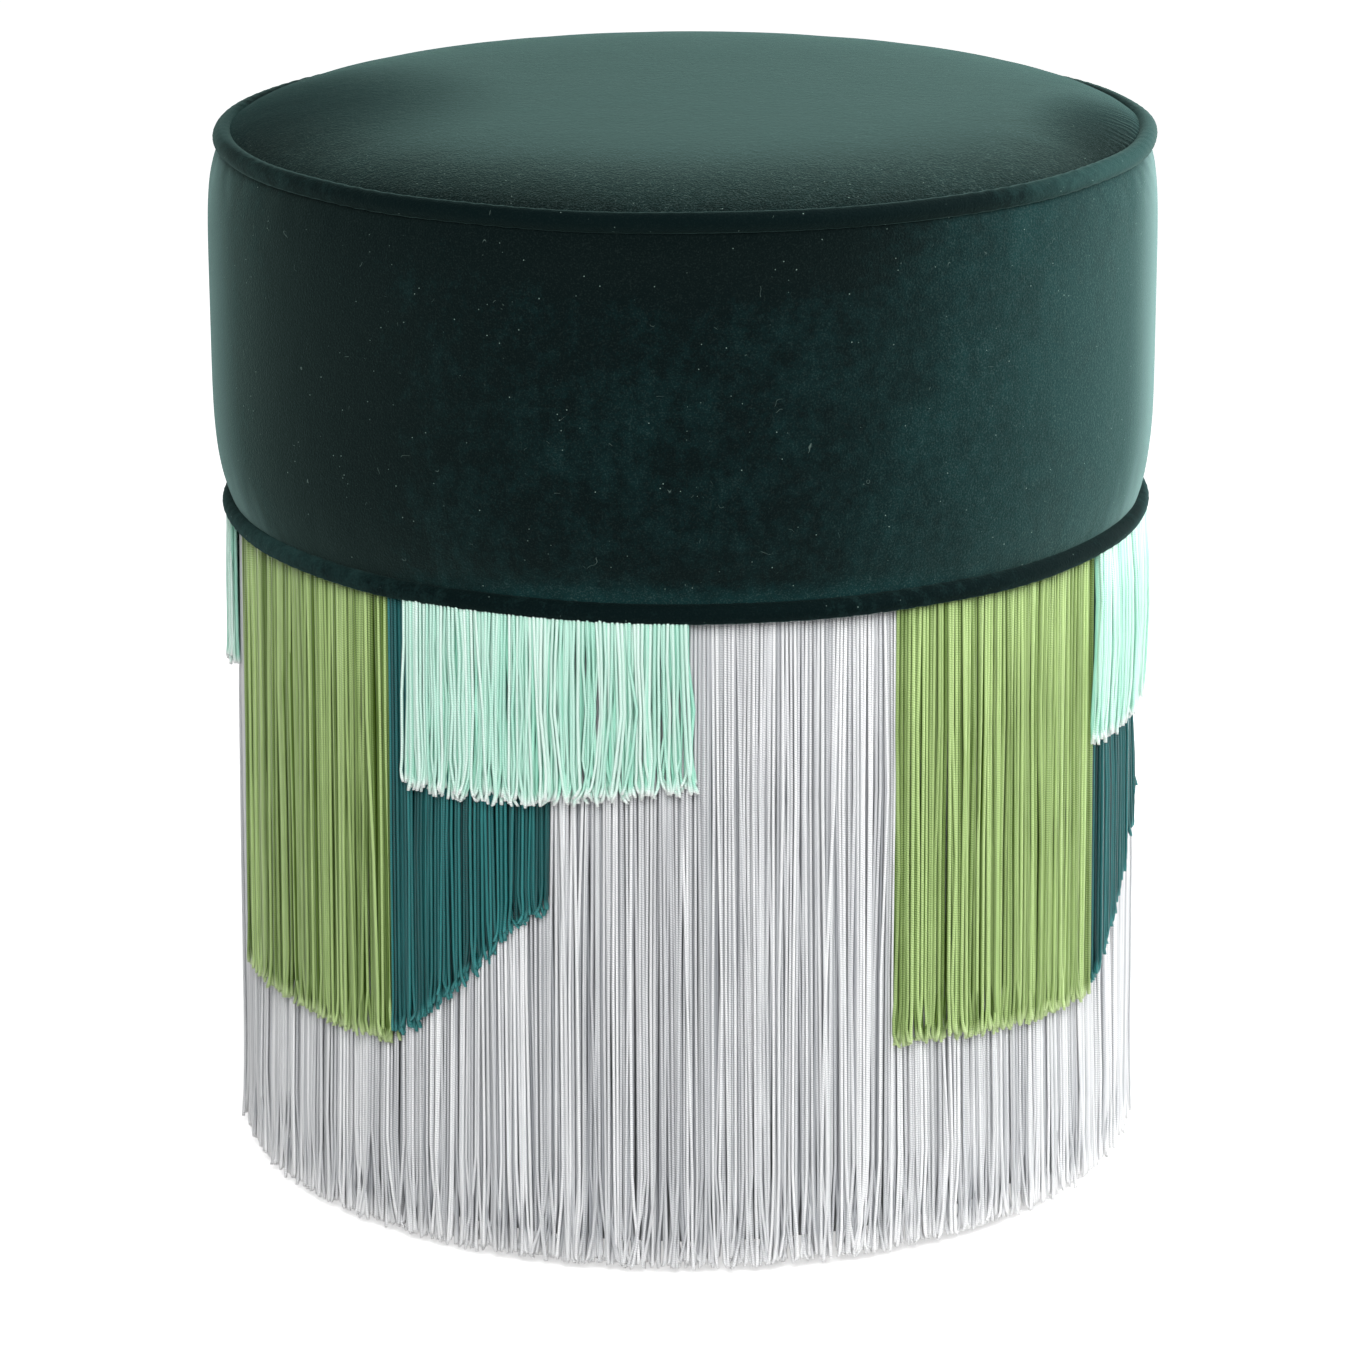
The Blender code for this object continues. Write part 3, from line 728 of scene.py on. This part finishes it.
def bandGrid():
    # rows up the band: its bulge is 1 - |t|^p, t from -1 at the lower welt to 1 at the upper
    bottom, top = bandLow[2] - band["overlap"], bandHigh[2] + band["overlap"]
    share = (1 - np.cos(pi * np.linspace(0, 1, band["rows"]))) / 2
    height = (bottom + (top - bottom) * share)[:, None]
    reach = (2 * height - bandLow[2] - bandHigh[2]) / (bandHigh[2] - bandLow[2])
    power = np.where(reach < 0, band["lowPower"], band["highPower"])
    seam = weltCircle + np.where(reach < 0, band["lowSeam"], band["highSeam"])
    radius = seam + (bandHigh[0] - seam) * (1 - np.abs(reach) ** power)
    return radius, fullTurn(band["steps"]), height


def makeBand():
    rows, steps = band["rows"], band["steps"]
    radius, turn, height = bandGrid()
    groove = band["backSeam"] * np.exp(-((turn - pi) * weltCircle / band["backSeamWidth"]) ** 2)
    points = polar(radius - groove, turn, height)
    lean = band["lean"] * (radius - radius.min()) / (radius.max() - radius.min())
    piece = addPiece("velvetBand", points.reshape(-1, 3), gridFaces(rows, steps), bandMaterial)
    pinned = np.concatenate([np.arange(steps), np.arange((rows - 1) * steps, rows * steps)])
    settled = settleCloth(piece, pinned, band).reshape(points.shape)
    swell = np.hypot(settled[..., 0], settled[..., 1]) - np.hypot(points[..., 0], points[..., 1])
    radius = radius + keptRipple("band", swell, band)
    radius = radius + seat["pull"] * smallPulls(turn, height.max() - height, band["pullReach"])
    points = polar(radius - groove, turn, height)
    points[..., 0] += lean
    setAll(piece.data.vertices, "co", sinkBack(points))
    addThickness(piece, band["thickness"])
    finishPiece(piece, "velvet", "velvet_band")


makeSeat()
makeBand()
print("velvet seat and band made")


# Padding under the velvet

padding = {"steps": 144, "clearance": 0.0004}


def turnedPad(name, outline, poles, slot, *nodes):
    # an outline of (radius, height) turned about the middle: a loop, or a line whose two ends are closed by
    # a point in the middle at the heights in poles
    steps = padding["steps"]
    radii, heights = np.array(outline).T
    points = polar(radii[:, None], fullTurn(steps), heights[:, None]).reshape(-1, 3)
    faces = [gridFaces(len(radii), steps, not poles)]
    around = np.arange(steps)
    after = np.roll(around, -1)
    ends = [(after, around), (len(points) - steps + around, len(points) - steps + after)]
    for height, (first, second) in zip(poles, ends):
        faces.append(np.stack([np.full(steps, len(points)), first, second], axis=-1))
        points = np.concatenate([points, [[0, 0, height]]])
    piece = addPiece(name, sinkBack(points), faces, foamMaterial)
    finishPiece(piece, slot, *nodes)


def makePads():
    # the pads follow the velvet from inside
    sideLow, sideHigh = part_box("side_foam")
    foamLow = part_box("seat_foam")[0]
    inset = band["thickness"] + padding["clearance"]
    radius, _, height = bandGrid()
    radius, height = radius[:, 0] - inset, height[:, 0]
    inside = (height > sideLow[2]) & (height < sideHigh[2])
    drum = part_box("drum_lining")[1][0]
    outline = [(drum, sideLow[2]), (radius[inside][0], sideLow[2])]
    outline += list(zip(radius[inside], height[inside]))
    outline += [(radius[inside][-1], sideHigh[2]), (drum, sideHigh[2])]
    turnedPad("sidePad", outline, (), "foam", "side_foam")

    seatRadius, _, seatHeight = seatGrid()
    under = seat["thickness"] + padding["clearance"]
    upper = (height > foamLow[2]) & (height < upperLow[2])
    hub = seatRadius[0, 0]
    top = seatRadius[:, 0] < weltCircle - welt["radius"] - padding["clearance"]
    outline = [(hub, foamLow[2]), (radius[upper][0], foamLow[2])]
    outline += list(zip(radius[upper], height[upper]))
    outline += list(zip(seatRadius[top, 0][::-1], (seatHeight[top, 0] - under)[::-1]))
    turnedPad("seatPad", outline, (foamLow[2], seatHigh[2] - under), "foam", "seat_foam", "seat_batting")


makePads()
print("pads made")


# Fringe

skirt = {
    "shoulder": 0.0055,  # height over which strands swing out from under the welt
    "rowStep": 0.0011,  # from one row's middle to the next
    "sides": 5,
    "press": 0.0022,  # how far an upper fringe presses the lower one in
    "pressFade": 0.012,  # height over which that fades below its hem
    "pressEdge": 0.004,  # and distance over which it fades at its sides
    "middles": [0.1932, 0.1952, 0.1977],  # radius of the outer row's middle, by layer
    "tapes": [0.1868, 0.1884, 0.1903],  # radius at which strands leave their tape, by layer
    "lean": 0.0105,  # how far strands stand out towards the floor, per length
    # how far a panel's first and last strands are turned past its tape, in degrees
    "nudge": {
        "mint_panel_1": (0.8, 0), "green_panel_2": (0.75, 0),
        "mint_panel_2": (-2.6, 0), "mint_panel_4": (0, -1.4),
    },
    # how much darker a panel's strands are: lighter and darker copies of one thread colour, set by how the
    # light falls on each panel, as painted light and shade
    "darker": {"green_panel_1": -0.03, "green_panel_2": -0.23, "teal_panel_2": 0.25, "mint_panel_2": 0.12},
    "toneCurve": (1.0, 1.4),  # of the beta distribution of the tones
    "paler": 0.05,
    "puff": {"mint_panel_2": 0.0018},  # how far a panel stands off half way down
    "endReach": 0.03,  # how far past their shared edge a green and a teal panel press the grey in
    "flareStrands": 2.5,  # strands over which a panel's outward flare fades from its edge
    "curl": 0.0013,  # how far a strand's cut end turns aside
    "curlLength": 0.0045,
    "curlPower": 1.3,
    "splayPower": 1.6,
    "frayed": (0.5, 1.0),  # how frayed a strand is at its last two rings
    "edgeStrands": 6,  # strands over which a panel's drift sets in from its edges
    # by row, from the outer one in: where in its pitch a strand hangs, how loose and how thick it is
    "rowPlace": (0.3, 0.75, 0.5),
    "rowLoose": (1, 1, 0.25),
    "rowThick": (1, 1, 1.15),
    "thickness": (0.86, 1.08),  # range over which thickness varies from strand to strand
    "waves": (0.7, 1.4),  # and the length of their waves
    "plyStart": 0.01,  # length over which their plies start
    "uneven": 0.00022,  # how unevenly the strands stand out
    "strayOut": 0.0011,  # how far a stray strand stands out
    "tipOut": 0.4,  # share of its splay and curl by which a tip moves in or out
    "pitchSpread": 0.15,  # how uneven the strands' places are, in pitches
    "driftSpan": 31,  # strands over which the drift is taken out
    "nearEnd": 0.12,  # share of a panel that gives the hem at its end
    "seed": 31,
}
hemTrims = {
    # (share of the panel's width, how much shorter its strands are there), by panel or by colour
    "green_panel_1": [(0, -0.0010), (1, -0.0010)],
    "green_panel_2": [(0, 0.0065), (0.15, 0.0047), (0.42, 0.0022), (0.7, 0.0003), (1, 0)],
    "teal": [
        (0, 0), (0.15, -0.0020), (0.4, 0.0002), (0.57, 0.0022), (0.76, 0.0084), (0.85, 0.0094), (1, 0.0064),
    ],
    "mint_panel_1": [(0, 0.0005), (0.2, -0.0010), (0.45, -0.0014), (0.72, -0.0002), (1, 0.0020)],
    "mint_panel_2": [(0, -0.0025), (0.5, -0.0040), (1, -0.0015)],
    "mint_panel_3": [(0, 0), (0.5, -0.0020), (1, 0)],
    "mint_panel_4": [(0, 0), (0.5, 0.0010), (1, 0.0075)],
}
panelFringe = {
    "pitch": 0.00172,  # from one strand to the next
    "thread": 0.00145,
    "ragged": 0.0036,  # how unevenly the strands end
    "gapChance": 0.2,
    "gap": 0.7,  # how wide a gap is, in pitches
    "rings": 10,
    "hemPower": 1.0,  # of the hem's curve
    "flare": 0.0004,  # how far a panel's edges flare outwards
    "tips": (1.2, 1.0),  # thickness of a strand's last two rings
    "contrast": 0.75,  # how far tones differ, and painted shade: how much darker each row is than the one before it, as the rows further in lie in shade
    "depth": 0.42,
}
fringes = {
    "grey": {
        **panelFringe, "pitch": 0.00166, "thread": 0.00142, "ragged": 0.0030, "loose": 0.85,
        "gapChance": 0.22, "gap": 0.65, "wander": 0.00045, "waveLength": 0.11, "splay": 0.0024,
        "splayZone": 0.040, "settle": 0.10, "stray": 0.14, "strayReach": 0.0035, "flare": 0.0,
        "tips": (1.25, 1.0), "depth": 0.32,
    },
    "green": {
        **panelFringe, "loose": 0.9, "wander": 0.00065, "waveLength": 0.06, "splay": 0.0011,
        "splayZone": 0.020, "settle": 0.050, "stray": 0.10, "strayReach": 0.0025, "contrast": 1.05,
    },
    "teal": {
        **panelFringe, "loose": 0.6, "wander": 0.00028, "waveLength": 0.10, "splay": 0.0009,
        "splayZone": 0.016, "settle": 0.09, "stray": 0.05, "strayReach": 0.0020,
    },
    "mint": {
        **panelFringe, "thread": 0.00142, "ragged": 0.0045, "loose": 1.0, "gapChance": 0.25,
        "wander": 0.00060, "waveLength": 0.045, "splay": 0.0011, "splayZone": 0.016, "settle": 0.045,
        "stray": 0.12, "strayReach": 0.0024, "hemPower": 1.6, "flare": 0.0022, "depth": 0.28,
    },
}
greyLow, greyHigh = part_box("grey_fringe")
tapeTop = greyHigh[2]


def readPanel(node):
    # a fringe's ends, layer and hem at each end, from its CAD solid
    points = meshPoints(frame["nodes"][node].data)
    angle = np.arctan2(points[:, 0], -points[:, 1])
    middle = np.arctan2(np.sin(angle).mean(), np.cos(angle).mean())
    angle = middle + (angle - middle + pi) % (2 * pi) - pi
    start, end = angle.min(), angle.max()
    near = (end - start) * skirt["nearEnd"]
    color = node.split("_")[0]
    trim = np.array(hemTrims.get(node) or hemTrims.get(color) or [(0, 0)])
    return {
        "start": start,
        "end": end,
        "reachStart": start - skirt["endReach"] * (color == "teal"),
        "reachEnd": end + skirt["endReach"] * (color == "green"),
        "trim": trim,
        "layer": 2 if color == "mint" else 1,
        "power": fringes[color]["hemPower"],
        "hemStart": points[angle < start + near, 2].min(),
        "hemEnd": points[angle > end - near, 2].min(),
    }


panels = {node: readPanel(node) for node in sorted(frame["nodes"]) if "_panel_" in node}


def hemHeight(panel, angle):
    # from the hem at one end to the other, straight or curved by the colour's power, plus its trim
    share = np.clip((angle - panel["start"]) / (panel["end"] - panel["start"]), 0, 1)
    even = panel["hemStart"] + share ** panel["power"] * (panel["hemEnd"] - panel["hemStart"])
    return even + np.interp(share, *panel["trim"].T)


def pressedIn(layer, angle, height):
    # 1 where an upper layer's fringe lies on this one, fading to 0 below its hem and near its ends
    most = np.zeros(np.broadcast(angle, height).shape)
    for panel in panels.values():
        if panel["layer"] <= layer:
            continue
        middle = (panel["reachStart"] + panel["reachEnd"]) / 2
        nearest = middle + (angle - middle + pi) % (2 * pi) - pi
        sideways = (panel["reachEnd"] - panel["reachStart"]) / 2 - np.abs(nearest - middle)
        across = smoothStep(sideways * weltCircle / skirt["pressEdge"] - 0.5)
        down = smoothStep((height - hemHeight(panel, nearest)) / skirt["pressFade"] + 0.5)
        most = np.maximum(most, across * down)
    return most


def looseOffsets(count, look, closed, random):
    # how far each strand hangs from its even place, in pitches: gaps open here and there, and the strands
    # between them draw together; the slow drift is taken out, so that it stays under its tape
    gaps = 1 + look["gap"] * (random.random(count) < look["gapChance"])
    gaps = gaps + random.normal(0, skirt["pitchSpread"], count)
    walk = np.cumsum(gaps - gaps.mean())
    span = min(skirt["driftSpan"], count // 2 * 2 - 1)
    padded = np.pad(walk, span // 2, mode="wrap" if closed else "reflect")
    return (walk - np.convolve(padded, np.ones(span) / span, mode="valid"))[:, None]


def strandKnots(look, drop):
    # shares of its length at which a strand has its rings, close together at the shoulder and the tip
    shoulder, tip = skirt["shoulder"] / drop.mean(), look["splayZone"] / drop.mean()
    between = np.linspace(1.1 * shoulder, 1 - tip, look["rings"] - 6)[1:]
    ends = 1 - np.array([0.62 * tip, 0.3 * tip, 0.002 / drop.mean(), 0.0])
    return np.concatenate([[0, 0.5 * shoulder, 1.1 * shoulder], between, ends])


def hangRow(look, layer, row, start, end, closed, hemAt, puff, random):
    # the middle lines and widths of one row of strands, as arrays by strand and ring: a strand leaves its
    # tape, swings out over the shoulder, hangs with a slow drift and wave, and splays and curls near its tip;
    # at a panel's edges the drift stops and the strands flare outwards
    middle = skirt["middles"][layer]
    count = int(round((end - start) * middle / look["pitch"]))
    number = np.arange(count)[:, None]
    angle = start + (end - start) * (number + skirt["rowPlace"][row]) / count

    def spread():
        return random.normal(0, 1, (count, 1))

    drop = tapeTop - hemAt(angle) - look["ragged"] * (random.random((count, 1)) - (0 if closed else 0.5))
    knots = strandKnots(look, drop)
    down = drop * knots
    first = smoothStep(down / look["settle"])
    second = smoothStep((down - look["settle"]) / look["settle"])
    inwards = (np.minimum(number, count - 1 - number) + 0.5) / skirt["edgeStrands"]
    inside = 1 if closed else smoothStep(inwards)
    loose = look["loose"] * look["pitch"] * skirt["rowLoose"][row] * inside
    offset = loose * looseOffsets(count, look, closed, random) * first * (1 - second)
    offset += loose * looseOffsets(count, look, closed, random) * second
    wave = look["waveLength"] * random.uniform(*skirt["waves"], (count, 1))
    phase = random.uniform(0, 2 * pi, (count, 1))
    offset += look["wander"] * spread() * first * np.sin(2 * pi * down / wave + phase)
    stray = spread() * (random.random((count, 1)) < look["stray"])
    offset += stray * look["strayReach"] * smoothStep(knots)
    splay = look["splay"] * np.clip((down - drop) / look["splayZone"] + 1, 0, 1) ** skirt["splayPower"]
    offset += splay * spread()
    edge = skirt["flareStrands"]
    flare = np.exp((number + 1 - count) / edge) - np.exp(-number / edge)
    offset += look["flare"] * flare * smoothStep(knots)
    curl = skirt["curl"] * np.clip((down - drop) / skirt["curlLength"] + 1, 0, 1) ** skirt["curlPower"]
    offset += curl * spread()
    hang = middle + skirt["lean"] * down - row * skirt["rowStep"]
    hang = hang + skirt["uneven"] * spread() + skirt["tipOut"] * splay * spread()
    hang += skirt["strayOut"] * (stray != 0) * (row == 0) * smoothStep(knots * 2)
    hang = hang + puff * np.sin(pi * knots) + skirt["tipOut"] * curl * spread()
    hang -= skirt["press"] * pressedIn(layer, angle, tapeTop - down)
    tape = skirt["tapes"][layer]
    radius = tape + (hang - tape) * smoothStep(down / skirt["shoulder"])
    thick = look["thread"] * skirt["rowThick"][row]
    thread = thick * random.uniform(*skirt["thickness"], (count, 1)) * np.ones(knots.shape)
    thread[:, -2:] *= look["tips"]
    return radius, angle + offset / middle, tapeTop - down, thread


def strandMesh(name, radius, angle, height, thread, tone, material, random):
    # each strand is a tube: rings of points round its middle line, closed at both ends
    strands, rings = radius.shape
    sides = skirt["sides"]
    middle = polar(radius, angle, height)
    outward = polar(np.ones_like(angle), angle, np.zeros_like(angle))
    beside = np.stack([np.cos(angle), np.sin(angle), np.zeros_like(angle)], axis=-1)
    turn = fullTurn(sides) + random.uniform(0, 2 * pi, (strands, 1, 1))
    half = (thread / 2)[:, :, None]
    across, out = half * np.cos(turn), half * np.sin(turn)
    points = middle[:, :, None] + across[..., None] * beside[:, :, None]
    points = points + out[..., None] * outward[:, :, None]
    first = np.arange(strands)[:, None] * rings * sides
    quads = (gridFaces(rings, sides)[None] + first[..., None]).reshape(-1, 4)
    tops = first + np.arange(sides)[::-1]
    tips = first + (rings - 1) * sides + np.arange(sides)
    along = (tapeTop - height)[:, :, None] + random.uniform(0, skirt["plyStart"], (strands, 1, 1))
    uv = np.stack(np.broadcast_arrays(np.arange(sides) / sides, along), axis=-1)
    piece = addPiece(name, points.reshape(-1, 3), [quads, tops, tips], material, uv.reshape(-1, 2))
    setAttribute(piece, "tone", np.broadcast_to(tone[:, None, None], (strands, rings, sides)))
    frayed = np.zeros(rings)
    frayed[-2:] = skirt["frayed"]
    setAttribute(piece, "frayed", np.broadcast_to(frayed[:, None], (strands, rings, sides)))
    return piece


def makeFringe(name, node, color, layer, start, end, closed, hemAt, rows, seed):
    look = fringes[color]
    random = np.random.default_rng(seed)
    puff = skirt["puff"].get(node, 0)
    paths = [hangRow(look, layer, row, start, end, closed, hemAt, puff, random) for row in rows]
    radius, angle, height, thread = (np.concatenate(parts) for parts in zip(*paths))
    inner = np.concatenate([np.full(len(path[0]), row) for path, row in zip(paths, rows)])
    # a random tone per strand, plus painted shade on the rows further in and the panel's shift
    tone = look["contrast"] * random.beta(*skirt["toneCurve"], len(inner)) + look["depth"] * inner
    tone = np.clip(tone - skirt["paler"] + skirt["darker"].get(node, 0), 0, 1)
    slot = f"{color}_thread"
    piece = strandMesh(name, radius, angle, height, thread, tone, slotMaterials[slot], random)
    print(name, len(radius), "strands")
    finishPiece(piece, slot, node)


def greyHem(angle):
    return np.full(np.shape(angle), greyLow[2])


for number, (name, rows) in enumerate([("greyFringe", (0, 1)), ("greyFringeInner", (2,))]):
    makeFringe(name, "grey_fringe", "grey", 0, 0.0, 2 * pi, True, greyHem, rows, skirt["seed"] + number)
for number, (node, panel) in enumerate(panels.items(), 2):
    color, _, which = node.split("_")
    spread = skirt["nudge"].get(node, (0, 0))
    start, end = panel["start"] + radians(spread[0]), panel["end"] + radians(spread[1])
    makeFringe(
        f"{color}Panel{which}", node, color, panel["layer"], start, end, False,
        lambda angle, panel=panel: hemHeight(panel, angle), (0, 1, 2), skirt["seed"] + number,
    )


# Carried-over nodes

slotOfNode = {entry["node"]: entry["material_slot"] for entry in frame["record"]["subparts"]}
for name, node in frame["nodes"].items():
    for place in node.material_slots:
        place.material = slotMaterials[slotOfNode[name]]
print("carried-over nodes finished")


# Camera, floor and light

view = {
    "distance": 2.20096,
    "height": 0.87078,
    "pitch": radians(17.06),
    "roll": radians(-0.163),
    "lens": 137.97,
    "shiftX": -0.001,
}


def makeCamera():
    # looks along +Y and down by the pitch, and leans by the roll
    data = bpy.data.cameras.new("camera")
    data.lens = view["lens"]
    data.sensor_width = 36
    data.shift_x = view["shiftX"]
    camera = addObject("camera", data)
    place = Matrix.Translation((0, -view["distance"], view["height"]))
    turn = Matrix.Rotation(pi / 2 - view["pitch"], 4, "X") @ Matrix.Rotation(view["roll"], 4, "Z")
    camera.matrix_world = place @ turn
    bpy.context.scene.camera = camera


lighting = {
    "floorGlow": 0.62,  # near the pouf
    "glowRange": (0.4, 1.6),  # distance at which the glow starts to grow, and where it is full
    "floorSize": 8.0,
    "aim": (0, 0, 0.35),
    "lamps": [
        # name, place, size, watts
        ("front", (0, -1.915, 1.857), 1.4, 62),
        ("near", (0.80, 0, 0.75), 0.5, 9.5),
        ("behind", (0.75, 0.50, 0.45), 0.5, 3.2),
        ("side", (-0.90, 0.50, 0.42), 0.5, 2.4),
    ],
}


def makeLamp(name, place, size, watts):
    data = bpy.data.lights.new(name, "AREA")
    data.shape = "SQUARE"
    data.size = size
    data.energy = watts
    lamp = addObject(name, data)
    lamp.location = place
    lamp.rotation_mode = "QUATERNION"
    lamp.rotation_quaternion = (lamp.location - Vector(lighting["aim"])).to_track_quat("Z", "Y")


def directRays(tree):
    # 1 for what the camera sees itself, in a gloss or through glass
    path = addNode(tree, "LightPath", {})
    seen = mathNode(tree, "ADD", path["Is Camera Ray"], path["Is Glossy Ray"])
    return mathNode(tree, "MINIMUM", mathNode(tree, "ADD", seen, path["Is Transmission Ray"]), 1.0)


def makeWorld():
    world = bpy.data.worlds.new("studio")
    world.use_nodes = True
    tree = world.node_tree
    setInputs(tree, tree.nodes["Background"], {"Color": (1, 1, 1, 1), "Strength": directRays(tree)})
    bpy.context.scene.world = world


def makeFloor():
    # a wide pale floor that glows for the camera alone, less near the pouf and fully far from it, so that it
    # is white but keeps the shadow
    material, tree, shader = newMaterial("paleFloor")
    away = vectorNode(tree, "LENGTH", objectPoint(tree))
    glow = rangeNode(tree, away, *lighting["glowRange"], lighting["floorGlow"], 1.0)
    setInputs(tree, shader, {
        "Base Color": (0.86, 0.86, 0.86, 1),
        "Roughness": 0.9,
        "Specular IOR Level": 0.0,
        "Emission Color": (1, 1, 1, 1),
        "Emission Strength": times(tree, directRays(tree), glow),
    })
    size = lighting["floorSize"]
    points = np.array([(-size, -size, 0), (size, -size, 0), (size, size, 0), (-size, size, 0)])
    addPiece("floor", points, np.array([[0, 1, 2, 3]]), material)


makeCamera()
makeWorld()
makeFloor()
for lamp in lighting["lamps"]:
    makeLamp(*lamp)
bpy.context.scene.view_settings.view_transform = "Standard"
print("camera, floor and light made")
